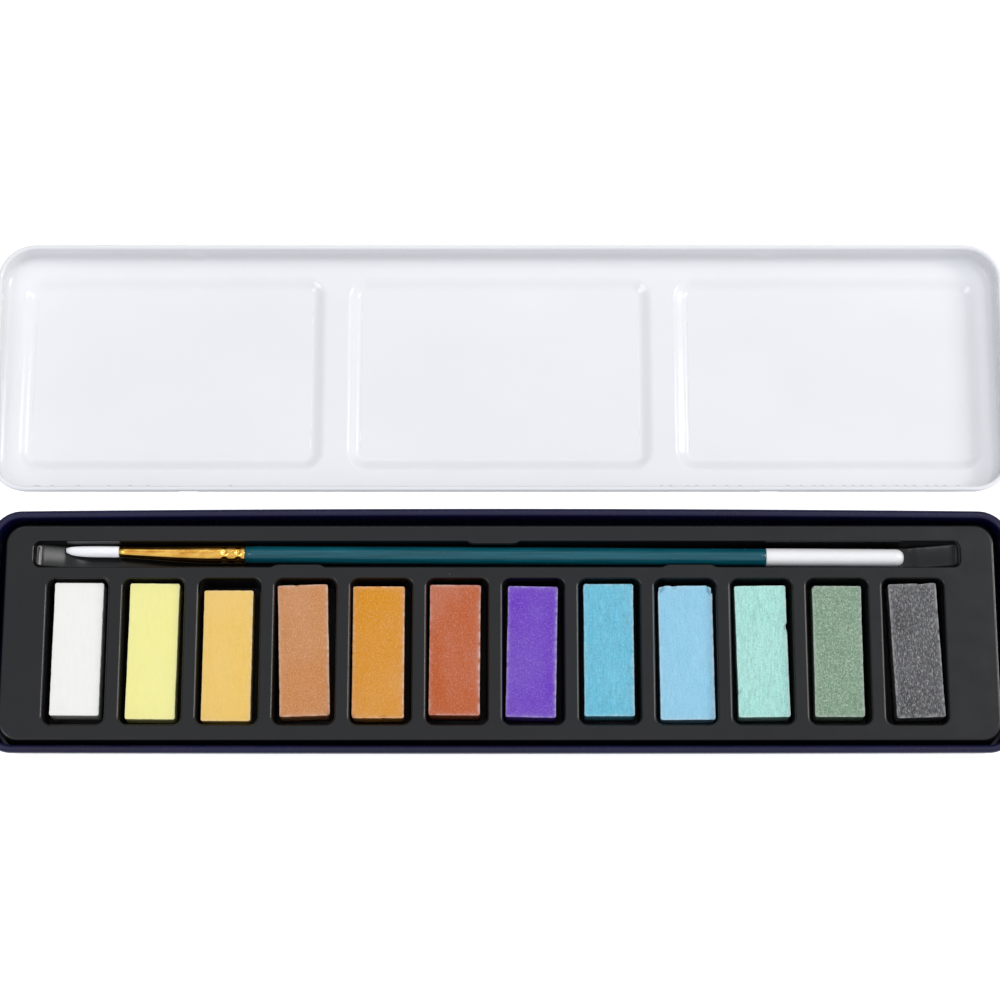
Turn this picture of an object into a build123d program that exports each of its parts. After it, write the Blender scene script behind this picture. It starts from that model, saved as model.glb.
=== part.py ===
from build123d import *
import os

# Watercolour pan set: a shallow lacquered tin, a formed tray with paint blocks and a brush,
# and a loose lid that lies inside-up behind the tin and serves as the mixing palette.
# Millimetres. +X runs along the tin, +Y from the tin towards the lid, +Z up.
# The origin is the middle of the floor rectangle that the whole set covers.

os.makedirs("parts", exist_ok=True)

# ---- tinplate shells -------------------------------------------------------------------
SHEET = 0.35                 # tinplate thickness
BEAD_BITE = 0.05             # how far a rolled rim stands proud of the wall's inner face

TIN_LENGTH = 230.0           # over the rolled rim
TIN_END_DEPTH = 55.2         # over the rolled rim, at the tin's ends
FRONT_BOW = 0.15             # the long sides spring outwards by this much at their middle
BACK_BOW = 0.65
TIN_HEIGHT = 10.4
TIN_CORNER = 7.0             # plan radius over the rim
TIN_BEAD = 1.8               # diameter of the rolled rim
TIN_FLOOR_RADIUS = 0.7       # inside radius between floor and wall

LID_LENGTH = 233.4           # over the rolled rim
LID_DEPTH = 59.6
LID_HEIGHT = 7.0
LID_CORNER = 8.7
LID_BEAD = 1.25
LID_FLOOR_RADIUS = 1.5
LID_GAP = 4.9                # from the bowed back of the tin to the open lid
SEAT_GAP = 0.2               # from the tin's rim to the lid's panel when the tin is closed

# ---- mixing wells pressed into the lid ----------------------------------------------------
MIX_WELL_COUNT = 3
MIX_WELL_PITCH = 76.0
MIX_WELL_MOUTH = (71.4, 47.5, 5.0)     # length, depth, corner radius at the panel
MIX_WELL_FLOOR = (64.6, 40.9, 3.0)
MIX_WELL_DROP = 1.0

# ---- friction dimples pressed into the lid's skirt -----------------------------------------
DIMPLE_X = (-71.5, 61.5)
DIMPLE_LENGTH = 5.5
DIMPLE_PUSH = 0.3            # how far a dimple stands into the lid
DIMPLE_ROUND = 1.2           # radius of its cross-section
DIMPLE_RISE = 1.25           # height of its middle above the panel

# ---- formed tray --------------------------------------------------------------------------
TRAY_SHEET = 0.45
TRAY_TOP = 9.3
TRAY_FOOT = SHEET + 0.05     # the tray stands on the tin's floor
TRAY_Y = -32.6
TRAY_RIM = (222.8, 49.7, 4.5)          # length, depth, corner radius at the top
TRAY_SKIRT = (223.6, 50.2, 4.9)        # the same at the foot, where the skirt flares
TRAY_EDGE_RADIUS = 0.8

PAN_COUNT = 12
PAN_PITCH = 17.045
PAN_ROW_X = -1.05
PAN_ROW_Y = -36.95
PAN_MOUTH = (13.8, 33.3, 1.9)
PAN_FLOOR = (13.2, 32.7, 1.0)
PAN_LIP = 0.5

SLOT_X = -0.7
SLOT_Y = -14.67
SLOT_MOUTH = (208.6, 5.9, 1.5)
SLOT_FLOOR = (207.9, 5.2, 1.2)
SLOT_BOTTOM = 4.3            # height of the deep part's floor
SLOT_LEDGE = 6.0             # height of the shallow finger ledges at both ends
SLOT_LIP = 0.4
LEFT_LEDGE = (-98.0, -91.5)  # where the left ledge ends, and where its slope meets the floor
RIGHT_LEDGE = (95.8, 91.9)
NIB_LENGTH = 12.2            # nibs on the slot's sides that keep the brush in
NIB_PUSH = 0.6
NIB_HEIGHT = 1.5
NIBS = ((-45.5, -1), (-1.5, 1), (42.7, -1))    # middle along X, side of the slot in Y

# ---- paint blocks ---------------------------------------------------------------------------
BLOCK_HEIGHT = 6.9
BLOCK_CORNER = 0.5
BLOCK_EDGE = 0.25
BLOCK_FOOT = TRAY_FOOT + TRAY_SHEET + 0.05
# Each block is pressed and cut a little differently, and lies loose in its pan:
# name, width, length, shift along X, shift along Y, turn in degrees.
BLOCKS = (
    ("paint_pearl_white", 11.2, 30.3, 0.1, 0.75, -0.3),
    ("paint_lemon", 11.3, 31.0, 0.0, 0.25, -0.5),
    ("paint_pale_gold", 11.2, 29.8, -0.3, -0.75, -0.1),
    ("paint_copper_tan", 11.4, 30.0, -0.25, 0.45, 1.9),
    ("paint_orange_gold", 11.8, 30.1, -0.6, 0.05, 0.0),
    ("paint_rust_red", 11.6, 29.8, -0.55, 0.55, -0.4),
    ("paint_violet", 11.4, 29.9, -0.35, 0.15, -1.2),
    ("paint_turquoise", 11.4, 30.2, -0.15, 0.55, 0.1),
    ("paint_sky_blue", 12.4, 30.6, 0.15, -0.05, 0.4),
    ("paint_mint", 11.7, 30.0, 0.05, 0.25, 0.8),
    ("paint_sage_green", 11.2, 29.9, 0.0, 0.25, -0.1),
    ("paint_charcoal", 11.0, 30.6, 0.5, 0.45, 1.9),
)

# ---- brush ------------------------------------------------------------------------------------
BRUSH_PLACE = (-86.1, -13.95, 6.45)    # where its axis enters the ferrule's mouth
BRUSH_TURN = -0.33                     # degrees, seen from above
TUFT_LENGTH = 12.2
TUFT_ROOT = 8.0                        # length of hair held inside the ferrule
FERRULE_LENGTH = 28.5
FERRULE_MOUTH = 1.25                   # radius at the tuft
FERRULE_END = 2.1                      # radius at the handle
FERRULE_CONE = 20.0                    # length of its tapered part
FERRULE_SHEET = 0.2
CRIMPS = (23.9, 27.0)                  # places of the two crimped rings along the ferrule
CRIMP_DEPTH = 0.18
TENON_RADIUS = 1.66
TENON_LENGTH = 10.0
HANDLE_LENGTH = 148.9
HANDLE_RADIUS = 1.98
FIT = 0.04                             # play between the glued pieces

# ---- places that follow from the sizes above -------------------------------------------------
TIN_DEPTH = TIN_END_DEPTH + FRONT_BOW + BACK_BOW
SET_DEPTH = TIN_DEPTH + LID_GAP + LID_DEPTH
TIN_Y = (TIN_DEPTH - SET_DEPTH) / 2
LID_Y = (SET_DEPTH - LID_DEPTH) / 2
TIN_FRONT = FRONT_BOW - SET_DEPTH / 2
TIN_BACK = TIN_FRONT + TIN_END_DEPTH
PANEL_UNDER = MIX_WELL_DROP
PANEL_TOP = PANEL_UNDER + SHEET
TURN_Y = (TIN_Y + LID_Y) / 2
TURN_Z = (PANEL_TOP + TIN_HEIGHT + SEAT_GAP) / 2


def rounded(size, x, y, z, grow=0.0):
    """A flat rounded rectangle at a height, grown evenly by grow on every side."""
    length, depth, radius = size
    return Pos(x, y, z) * RectangleRounded(length + 2 * grow, depth + 2 * grow, radius + grow)


def frustum(lower, upper):
    """A solid between two rounded rectangles."""
    return loft([lower.face(), upper.face()])


def lowest_edges(solid):
    """The edges round a solid's underside."""
    return solid.faces().sort_by(Axis.Z)[0].edges()


def rolled_rim(outline, diameter, height):
    """A round bead whose outermost line is the outline and whose top is at height."""
    path = offset(outline, -diameter / 2).face().outer_wire().moved(Pos(0, 0, height - diameter / 2))
    section = Plane(origin=path @ 0, z_dir=path % 0) * Circle(diameter / 2)
    return sweep(section, path=path)


# ---- tin ----------------------------------------------------------------------------------------
def tin_outline():
    """The rim's outline: straight ends, long sides bowed outwards, rounded corners."""
    half = TIN_LENGTH / 2
    front = ThreePointArc((-half, TIN_FRONT), (0, TIN_FRONT - FRONT_BOW), (half, TIN_FRONT))
    right = Line((half, TIN_FRONT), (half, TIN_BACK))
    back = ThreePointArc((half, TIN_BACK), (0, TIN_BACK + BACK_BOW), (-half, TIN_BACK))
    left = Line((-half, TIN_BACK), (-half, TIN_FRONT))
    face = make_face([front, right, back, left])
    return fillet(face.vertices(), TIN_CORNER)


def make_tin_base():
    """Pressed tin: a flat floor, an upright wall and an outward rolled rim."""
    outline = tin_outline()
    inset = TIN_BEAD - BEAD_BITE
    outer = extrude(offset(outline, SHEET - inset), TIN_HEIGHT - TIN_BEAD / 2)
    outer = fillet(lowest_edges(outer), TIN_FLOOR_RADIUS + SHEET)
    inner = extrude(Pos(0, 0, SHEET) * offset(outline, -inset), TIN_HEIGHT)
    inner = fillet(lowest_edges(inner), TIN_FLOOR_RADIUS)
    return outer - inner + rolled_rim(outline, TIN_BEAD, TIN_HEIGHT)


# ---- lid ----------------------------------------------------------------------------------------
def mixing_wells(mouth_z, floor_z, grow):
    """The three tapered wells, grown sideways by the sheet's thickness for their undersides."""
    wells = []
    for number in range(MIX_WELL_COUNT):
        x = (number - (MIX_WELL_COUNT - 1) / 2) * MIX_WELL_PITCH
        mouth = rounded(MIX_WELL_MOUTH, x, LID_Y, mouth_z, grow)
        floor = rounded(MIX_WELL_FLOOR, x, LID_Y, floor_z, grow)
        wells.append(frustum(floor, mouth))
    return wells


def dimple_spindle(x, y):
    """A long slim lens, turned about a line along X, that stands for one dimple's press tool."""
    half = DIMPLE_LENGTH / 2
    waist = DIMPLE_ROUND - DIMPLE_PUSH
    arc = ThreePointArc((-half, waist), (0, DIMPLE_ROUND), (half, waist))
    rim = Polyline((half, waist), (half, 0), (-half, 0), (-half, waist))
    lens = revolve(make_face([arc, rim]), Axis.X)
    return Pos(x, y, PANEL_TOP + DIMPLE_RISE) * lens


def press_dimples(lid, inner_depth):
    """Push the friction dimples into the two long sides of the skirt."""
    for side in (-1, 1):
        face_y = LID_Y + side * inner_depth / 2
        tool_y = face_y + side * (DIMPLE_ROUND - DIMPLE_PUSH)
        slab = Box(LID_LENGTH, 2 * DIMPLE_PUSH, LID_HEIGHT)
        slab = Pos(0, face_y - side * (DIMPLE_PUSH - SHEET / 2), LID_HEIGHT / 2) * slab
        for x in DIMPLE_X:
            lid += dimple_spindle(x, tool_y) & slab
            lid -= dimple_spindle(x, tool_y + side * SHEET)
    return lid


def make_lid():
    """Pressed lid lying inside-up: panel with mixing wells, skirt, dimples and rolled rim."""
    outline = Pos(0, LID_Y) * RectangleRounded(LID_LENGTH, LID_DEPTH, LID_CORNER)
    inset = LID_BEAD - BEAD_BITE
    skirt_height = LID_HEIGHT - LID_BEAD / 2 - PANEL_UNDER
    outer = extrude(Pos(0, 0, PANEL_UNDER) * offset(outline, SHEET - inset), skirt_height)
    outer = fillet(lowest_edges(outer), LID_FLOOR_RADIUS + SHEET)
    inner = extrude(Pos(0, 0, PANEL_TOP) * offset(outline, -inset), LID_HEIGHT)
    inner = fillet(lowest_edges(inner), LID_FLOOR_RADIUS)
    lid = outer
    for boss in mixing_wells(PANEL_UNDER, 0, SHEET):
        lid += boss
    lid -= inner
    for pocket in mixing_wells(PANEL_TOP, SHEET, 0):
        lid -= pocket
    lid = press_dimples(lid, LID_DEPTH - 2 * inset)
    return lid + rolled_rim(outline, LID_BEAD, LID_HEIGHT)


# ---- tray ---------------------------------------------------------------------------------------
def pan_places():
    """Middle of each pan, from left to right."""
    first = PAN_ROW_X - PAN_PITCH * (PAN_COUNT - 1) / 2
    return [(first + PAN_PITCH * number, PAN_ROW_Y) for number in range(PAN_COUNT)]


def pan_pocket(x, y, grow):
    """The space of one pan, or with grow its outer casing."""
    floor = rounded(PAN_FLOOR, x, y, TRAY_FOOT + TRAY_SHEET - grow, grow)
    mouth = rounded(PAN_MOUTH, x, y, TRAY_TOP, grow)
    return frustum(floor, mouth)


def slot_pocket(grow):
    """The brush slot: a tapered trough whose floor climbs to a shallow ledge at each end."""
    trough = frustum(rounded(SLOT_FLOOR, SLOT_X, SLOT_Y, SLOT_BOTTOM - grow, grow),
                     rounded(SLOT_MOUTH, SLOT_X, SLOT_Y, TRAY_TOP, grow))
    reach = TIN_LENGTH / 2
    bottom = SLOT_BOTTOM - grow
    ledge = SLOT_LEDGE - grow
    side = Polyline((-reach, TRAY_TOP), (-reach, ledge), (LEFT_LEDGE[0] - grow / 2, ledge),
                    (LEFT_LEDGE[1] - grow / 2, bottom), (RIGHT_LEDGE[1] + grow / 2, bottom),
                    (RIGHT_LEDGE[0] + grow / 2, ledge), (reach, ledge), (reach, TRAY_TOP), close=True)
    profile = Plane.XZ * make_face(side)
    return trough & Pos(0, SLOT_Y, 0) * extrude(profile, SLOT_MOUTH[1], both=True)


def brush_nib(x, side):
    """A short nib on one side of the slot, just under the tray's top."""
    wall = SLOT_Y + side * SLOT_MOUTH[1] / 2
    root, tip = NIB_LENGTH / 2, NIB_LENGTH / 2 - 2 * NIB_PUSH
    back, front = wall + side * SLOT_LIP, wall - side * NIB_PUSH
    plan = make_face(Polyline((x - root, back), (x - root, wall), (x - tip, front),
                              (x + tip, front), (x + root, wall), (x + root, back), close=True))
    return extrude(Pos(0, 0, TRAY_TOP - NIB_HEIGHT) * plan, NIB_HEIGHT)


def make_insert_tray():
    """Thin formed tray: flat top, flared skirt, pans and brush slot as pockets of one sheet."""
    thin = -TRAY_SHEET
    outer = frustum(rounded(TRAY_SKIRT, 0, TRAY_Y, TRAY_FOOT), rounded(TRAY_RIM, 0, TRAY_Y, TRAY_TOP))
    outer = fillet(outer.faces().sort_by(Axis.Z)[-1].edges(), TRAY_EDGE_RADIUS)
    inner = frustum(rounded(TRAY_SKIRT, 0, TRAY_Y, TRAY_FOOT, thin),
                    rounded(TRAY_RIM, 0, TRAY_Y, TRAY_TOP - TRAY_SHEET, thin))
    tray = outer - inner
    for x, y in pan_places():
        tray += pan_pocket(x, y, TRAY_SHEET)
    tray += slot_pocket(TRAY_SHEET)
    for x, y in pan_places():
        tray -= pan_pocket(x, y, 0)
    tray -= slot_pocket(0)
    tray = soften_mouths(tray)
    for x, side in NIBS:
        tray += brush_nib(x, side)
    return tray


def soften_mouths(tray):
    """Round the lips round the pans and the slot."""
    top = tray.faces().sort_by(Axis.Z)[-1]
    pan_lips = []
    slot_lips = []
    for loop in top.inner_wires():
        length = loop.bounding_box().size.X
        (slot_lips if length > PAN_PITCH else pan_lips).extend(loop.edges())
    tray = fillet(pan_lips, PAN_LIP)
    top = tray.faces().sort_by(Axis.Z)[-1]
    slot_lips = [loop for loop in top.inner_wires() if loop.bounding_box().size.X > PAN_PITCH]
    return fillet(slot_lips[0].edges(), SLOT_LIP)


# ---- paint blocks ---------------------------------------------------------------------------------
def make_block(place, width, length, shift_x, shift_y, turn):
    """One pressed paint block, lying loose in its pan."""
    block = extrude(RectangleRounded(width, length, BLOCK_CORNER), BLOCK_HEIGHT)
    block = fillet(block.faces().sort_by(Axis.Z)[-1].edges(), BLOCK_EDGE)
    return Pos(place[0] + shift_x, place[1] + shift_y, BLOCK_FOOT) * Rot(0, 0, turn) * block


# ---- brush: every piece is turned about X, with its ferrule's mouth at X = 0 ----------------------
def turned(points):
    """A solid turned about X from a list of (x, radius) points; it closes along the axis."""
    return revolve(make_face(Polyline(*points, close=True)), Axis.X)


def ferrule_bore(x):
    """Inside radius of the ferrule at a distance from its mouth."""
    rise = (TENON_RADIUS + FIT) - (FERRULE_MOUTH - FERRULE_SHEET)
    return FERRULE_MOUTH - FERRULE_SHEET + rise * min(x / FERRULE_CONE, 1.0)


def make_brush_ferrule():
    """Thin brass tube: a cone, then a straight collar with two crimped rings."""
    outside = [(0, FERRULE_MOUTH), (FERRULE_CONE, FERRULE_END)]
    for crimp in CRIMPS:
        outside.append((crimp - 3 * CRIMP_DEPTH, FERRULE_END))
        outside.append((crimp, FERRULE_END - CRIMP_DEPTH))
        outside.append((crimp + 3 * CRIMP_DEPTH, FERRULE_END))
    outside.append((FERRULE_LENGTH, FERRULE_END))
    inside = [(FERRULE_LENGTH, ferrule_bore(FERRULE_LENGTH)), (FERRULE_CONE, ferrule_bore(FERRULE_CONE)),
              (0, ferrule_bore(0))]
    return turned(outside + inside)


def make_brush_bristles():
    """The hair tuft: a root inside the ferrule, a slight belly and a blunt pointed tip."""
    root = [(TUFT_ROOT, 0), (TUFT_ROOT, ferrule_bore(TUFT_ROOT) - FIT), (0, ferrule_bore(0) - FIT)]
    belly = Spline((0, ferrule_bore(0) - FIT), (-0.28 * TUFT_LENGTH, 1.16), (-0.7 * TUFT_LENGTH, 0.86),
                   (-TUFT_LENGTH, 0.24))
    back = Polyline((-TUFT_LENGTH, 0.24), (-TUFT_LENGTH, 0), *root)
    return revolve(make_face([belly, back]), Axis.X)


def make_brush_resin():
    """Plug of resin that holds the hair inside the ferrule."""
    start, end = TUFT_ROOT + FIT, TUFT_ROOT + 0.5 * TUFT_ROOT
    return turned([(start, 0), (start, ferrule_bore(start) - FIT), (end, ferrule_bore(end) - FIT), (end, 0)])


def make_brush_handle():
    """Turned wooden handle: a tenon inside the ferrule, a long shaft and a domed end."""
    tenon = FERRULE_LENGTH - TENON_LENGTH
    shoulder = FERRULE_LENGTH + FIT
    end = FERRULE_LENGTH + HANDLE_LENGTH
    shaft_end = end - HANDLE_RADIUS
    lower = Polyline((shoulder, HANDLE_RADIUS), (shoulder, TENON_RADIUS), (tenon + 1, TENON_RADIUS),
                     (tenon, TENON_RADIUS - 0.4), (tenon, 0), (end, 0))
    dome = CenterArc((shaft_end, 0), HANDLE_RADIUS, 0, 90)
    shaft = Line((shaft_end, HANDLE_RADIUS), (shoulder, HANDLE_RADIUS))
    return revolve(make_face([lower, dome, shaft]), Axis.X)


def lay_brush(piece):
    """Put a brush piece where the brush lies in the slot."""
    return Pos(*BRUSH_PLACE) * Rot(0, 0, BRUSH_TURN) * piece


# ---- the whole set ----------------------------------------------------------------------------------
def save(node, piece):
    """Write one node's solid."""
    export_step(piece, os.path.join("parts", node + ".step"))


save("tin_base", make_tin_base())
save("lid", make_lid())
save("insert_tray", make_insert_tray())
for pan, (node, *size_and_place) in zip(pan_places(), BLOCKS):
    save(node, make_block(pan, *size_and_place))
save("brush_ferrule", lay_brush(make_brush_ferrule()))
save("brush_bristles", lay_brush(make_brush_bristles()))
save("brush_resin", lay_brush(make_brush_resin()))
save("brush_handle", lay_brush(make_brush_handle()))
print("lid turns about the line y", round(TURN_Y, 3), "z", round(TURN_Z, 3))
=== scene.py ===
import math

import bpy
import numpy as np
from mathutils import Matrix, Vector, noise
from mathutils.geometry import tessellate_polygon


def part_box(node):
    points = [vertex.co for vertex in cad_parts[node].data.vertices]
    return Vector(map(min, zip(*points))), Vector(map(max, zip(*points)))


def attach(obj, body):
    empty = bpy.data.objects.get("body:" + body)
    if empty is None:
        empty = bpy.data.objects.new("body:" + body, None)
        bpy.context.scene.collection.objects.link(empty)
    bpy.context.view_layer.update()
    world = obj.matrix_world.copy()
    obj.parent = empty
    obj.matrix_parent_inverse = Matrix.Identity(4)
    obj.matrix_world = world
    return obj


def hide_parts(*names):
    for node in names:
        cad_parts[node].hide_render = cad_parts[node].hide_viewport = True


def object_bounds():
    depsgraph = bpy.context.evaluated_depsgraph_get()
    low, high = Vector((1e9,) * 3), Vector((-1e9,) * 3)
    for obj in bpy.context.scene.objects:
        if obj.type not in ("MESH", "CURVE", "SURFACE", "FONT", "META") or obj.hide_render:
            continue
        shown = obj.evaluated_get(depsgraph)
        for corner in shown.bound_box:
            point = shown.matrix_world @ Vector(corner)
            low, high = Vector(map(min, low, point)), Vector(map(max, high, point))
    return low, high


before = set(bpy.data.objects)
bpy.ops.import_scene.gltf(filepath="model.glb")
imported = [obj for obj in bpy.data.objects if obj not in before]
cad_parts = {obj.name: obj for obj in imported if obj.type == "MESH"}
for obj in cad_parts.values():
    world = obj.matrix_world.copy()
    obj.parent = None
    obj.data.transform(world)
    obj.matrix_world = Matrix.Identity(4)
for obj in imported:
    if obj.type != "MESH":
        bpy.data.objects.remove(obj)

# Looks of a watercolour pan set. Sizes below are millimetres in the frame of the CAD model;
# meshes are turned into metres when they are made.

MM = 0.001
cad_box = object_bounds()

# ---- sizes shared with the CAD model ---------------------------------
SHEET = 0.35                 # thickness of the tin's and the lid's metal
BEAD_START = -0.12           # where a wall runs into its rolled rim, in radians from level
BEAD_STEPS = 44
LEVEL_STRIP = 0.1            # a level strip keeps a floor's shading apart from its rounded edge
LIP_STRIP = 0.08             # the same strip at the pans and the slot
TIN_BEAD = 1.8               # diameter of the rolled rim
TIN_WALL_INSET = 1.75        # from the rim's outside to the wall's inner face
TIN_CORNER = 7.0
TIN_FLOOR_RADIUS = 0.7
FRONT_BOW = 0.15             # how far the tin's long sides bulge
BACK_BOW = 0.65

LID_BEAD = 1.25
LID_WALL_INSET = 1.2
LID_CORNER = 8.7
LID_FLOOR_RADIUS = 1.5
LID_PANEL = 1.0              # underside of the panel between the wells
WELL_PITCH = 76.0
WELL_MOUTH = (71.4, 47.5, 5.0)       # length, depth and corner radius
WELL_FLANK = 3.4             # width of a well's soft flank
WELL_DROP = 1.0
WELL_STEPS = 10
UNDER_GROW = 0.6             # a well's underside is wider by this share of the sheet
DIMPLE_X = (-71.5, 61.5)
DIMPLE_LENGTH = 5.5
DIMPLE_PUSH = 0.3
DIMPLE_Z = 2.6
DIMPLE_SPREAD = 0.8          # how far a dimple reaches up and down
SKIRT_HEIGHTS = (3.3, 3.8, 4.4, 5.2)

TRAY_SHEET = 0.45
TRAY_CORNER = 4.5
TRAY_EDGE = 0.8              # radius of the outer edge
TRAY_FLARE = 0.3             # how far the outer walls spread downwards
TRAY_SHOWN = 0.9             # share of the sheet's thickness that the mesh is given
PAN_SHADE_START = 0.7             # painted shade darkens the pans from this depth on
PAN_SHADE_REACH = 1.6
PAN_COUNT = 12
PAN_PITCH = 17.045
PAN_ROW = (-1.05, -36.95)    # middle of the row
PAN_MOUTH = (13.8, 33.3, 1.9)
PAN_DRAFT = 0.3
PAN_LIP = 0.5
PAN_HEEL = 0.4               # radius where walls meet the floor
SLOT_CENTRE = (-0.7, -14.67)
SLOT_MOUTH = (208.6, 5.9, 1.5)
SLOT_DRAFT = 0.35
SLOT_BOTTOM = 4.3
SLOT_LEDGE = 6.0
SLOT_LIP = 0.4
SLOT_HEEL = 0.5
LEFT_LEDGE = (-98.0, -91.5)  # where the left finger ledge begins, and where its ramp ends
RIGHT_LEDGE = (95.8, 91.9)
LEDGE_SLOPE = 0.34           # the finger ledges rise towards the ends
LEDGE_SINK = 0.4             # and begin this much lower than a level ledge
NIB_LENGTH = 12.2
NIB_PUSH = 0.6
NIB_DEPTH = 1.5
NIB_RAMP = 1.3               # each nib rises over this length
NIBS = ((-45.5, -1), (-1.5, 1), (42.7, -1))  # place along the slot, and its side

# node, width, length, turn in degrees, sRGB colour, strength of the streaks, of the grain, of the lip
PAINTS = (
    ("paint_pearl_white", 11.2, 30.3, -0.3, (250, 248, 243), 0.03, 0.03, 0.3),
    ("paint_lemon", 11.3, 31.0, -0.5, (251, 244, 154), 0.03, 0.04, 0.4),
    ("paint_pale_gold", 11.2, 29.8, -0.1, (245, 202, 103), 0.05, 0.12, 0.4),
    ("paint_copper_tan", 11.4, 30.0, 1.9, (206, 136, 74), 0.06, 0.34, 1.0),
    ("paint_orange_gold", 11.8, 30.1, 0.0, (222, 145, 0), 0.06, 0.26, 1.0),
    ("paint_rust_red", 11.6, 29.8, -0.4, (193, 91, 34), 0.06, 0.30, 1.0),
    ("paint_violet", 11.4, 29.9, -1.2, (102, 34, 192), 0.10, 0.26, 1.0),
    ("paint_turquoise", 11.4, 30.2, 0.1, (98, 190, 218), 0.26, 0.30, 1.1),
    ("paint_sky_blue", 12.4, 30.6, 0.4, (144, 205, 233), 0.12, 0.22, 1.1),
    ("paint_mint", 11.7, 30.0, 0.8, (168, 227, 217), 0.30, 0.44, 1.1),
    ("paint_sage_green", 11.2, 29.9, -0.1, (125, 156, 128), 0.34, 0.85, 1.0),
    ("paint_charcoal", 11.0, 30.6, 1.9, (74, 73, 76), 0.80, 0.72, 1.0),
)
# Places where a block is chipped: from its middle along X and Y, reach, depth.
CHIPS = {
    "paint_sky_blue": ((-6.1, 14.9, 1.5, 0.5), (6.1, 14.7, 1.7, 0.6), (-2.6, 15.2, 0.8, 0.3)),
    "paint_mint": ((5.9, 5.4, 0.9, 0.6), (-5.8, -9.0, 0.8, 0.3)),
    "paint_copper_tan": ((5.6, -14.9, 0.9, 0.3), (-1.5, 15.0, 0.7, 0.2)),
    "paint_orange_gold": ((-5.8, -15.0, 0.9, 0.3), (1.2, -15.0, 0.8, 0.3)),
    "paint_sage_green": ((-5.6, 14.9, 0.8, 0.3),),
    "paint_charcoal": ((2.0, 15.2, 1.2, 0.3), (-5.4, -15.2, 0.8, 0.3)),
}


# ---- small helpers ---------------------------------------------------
def box_mm(node):
    """Lowest and highest corner of a CAD node, in millimetres."""
    low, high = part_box(node)
    return low / MM, high / MM


def linear(colour):
    """An sRGB colour of 0 to 255 as the linear values that shaders use."""
    share = np.array(colour, float) / 255
    return tuple(np.where(share <= 0.04045, share / 12.92, ((share + 0.055) / 1.055) ** 2.4))


def smooth(value):
    """Soft step from 0 to 1."""
    value = np.clip(value, 0.0, 1.0)
    return value * value * (3 - 2 * value)


def perlin(x, y, z):
    """Smooth noise, roughly from -1 to 1."""
    return noise.noise(Vector((x, y, z)))


class Skin:
    """Points and faces of one mesh while it is built, in millimetres.

    Each point may carry a tone, a number its material reads: how pale a cake's edge is painted there,
    from wear and a painted highlight, or how deep in a pan a point of the tray lies, for painted shade.
    """

    def __init__(self):
        self.points = []
        self.faces = []
        self.tone = []

    def add(self, points):
        """Adds points and gives their numbers."""
        first = len(self.points)
        self.points.extend(tuple(map(float, p)) for p in points)
        return list(range(first, len(self.points)))

    def band(self, inner, outer):
        """Quads between two closed rings, facing up where the second ring lies outside the first."""
        count = len(inner)
        for i in range(count):
            j = (i + 1) % count
            self.faces.append((inner[i], outer[i], outer[j], inner[j]))

    def bands(self, rings):
        """Quads between each ring and the next."""
        for inner, outer in zip(rings, rings[1:]):
            self.band(inner, outer)

    def ladder(self, ring, flip=False):
        """Fills a ring whose second half mirrors its first, with rungs across."""
        half = len(ring) // 2
        for i in range(half):
            a, b = ring[i], ring[i + 1]
            c, d = ring[-i - 1], ring[-i]
            face = (a, b, d) if i == half - 1 and b == c else (a, b, c, d)
            if i == 0:
                face = (ring[0], ring[1], ring[-1])
            self.faces.append(tuple(reversed(face)) if flip else face)

    def flat(self, outer, holes, flip=False):
        """Fills the level region between a ring and the rings inside it."""
        loops = [outer] + holes
        numbers = [n for loop in loops for n in loop]
        triangles = tessellate_polygon([[Vector(self.points[n]) for n in loop] for loop in loops])
        for triangle in triangles:
            a, b, c = (Vector(self.points[numbers[i]]) for i in triangle)
            face = tuple(numbers[i] for i in triangle)
            upward = (b - a).cross(c - a).z > 0
            self.faces.append(face if upward != flip else tuple(reversed(face)))

    def build(self, name, material):
        """Makes the mesh object, in metres, smooth shaded."""
        mesh = bpy.data.meshes.new(name)
        mesh.from_pydata([tuple(c * MM for c in p) for p in self.points], [], self.faces)
        mesh.validate()
        mesh.polygons.foreach_set("use_smooth", [True] * len(mesh.polygons))
        mesh.materials.append(material)
        if self.tone:
            mesh.attributes.new("tone", "FLOAT", "POINT").data.foreach_set("value", self.tone)
        made = bpy.data.objects.new(name, mesh)
        bpy.context.scene.collection.objects.link(made)
        return made


def spread(start, end, step):
    """Evenly spaced values from start up to, but not including, end."""
    count = max(1, round(abs(end - start) / step))
    return [start + (end - start) * i / count for i in range(count)]


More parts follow.
